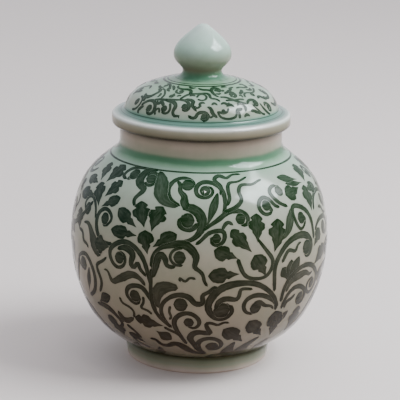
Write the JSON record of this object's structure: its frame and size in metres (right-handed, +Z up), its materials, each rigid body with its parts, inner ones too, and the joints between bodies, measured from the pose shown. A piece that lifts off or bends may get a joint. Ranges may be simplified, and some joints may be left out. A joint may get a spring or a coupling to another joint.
{
  "type": "ginger jar",
  "caption": "Round-bellied glazed stoneware jar on a turned foot, with a lift-off domed lid and a lotus-bud knob, painted all over with leafy scrolls.",
  "frame": {"origin": "centre of the face that the foot stands on", "axes": "+Z up along the axis of turning, through the knob; the jar is seen from -Y, with +X to the right"},
  "size_m": [0.135, 0.135, 0.1766],
  "materials": {
    "jar_glaze": "glossy pale celadon glaze over dark green brush painting",
    "foot_glaze": "thin celadon glaze, wiped off the resting face",
    "lid_glaze": "glossy pale celadon glaze over fine dark green scrolls",
    "bare_clay": "unglazed fired stoneware, dry and slightly rough",
    "knob_glaze": "glossy celadon glaze, pooled green at the waist"
  },
  "bodies": {
    "jar": {"jar_body": "jar_glaze", "foot_ring": "foot_glaze"},
    "lid": {"lid_dome": "lid_glaze", "lid_locating_ring": "bare_clay", "lid_knob": "knob_glaze"}
  },
  "joints": [
    {"name": "lid_lift", "type": "slide", "parent": "jar", "child": "lid", "axis": [0, 0, 1], "range_m": [0, 0.13]}
  ]
}
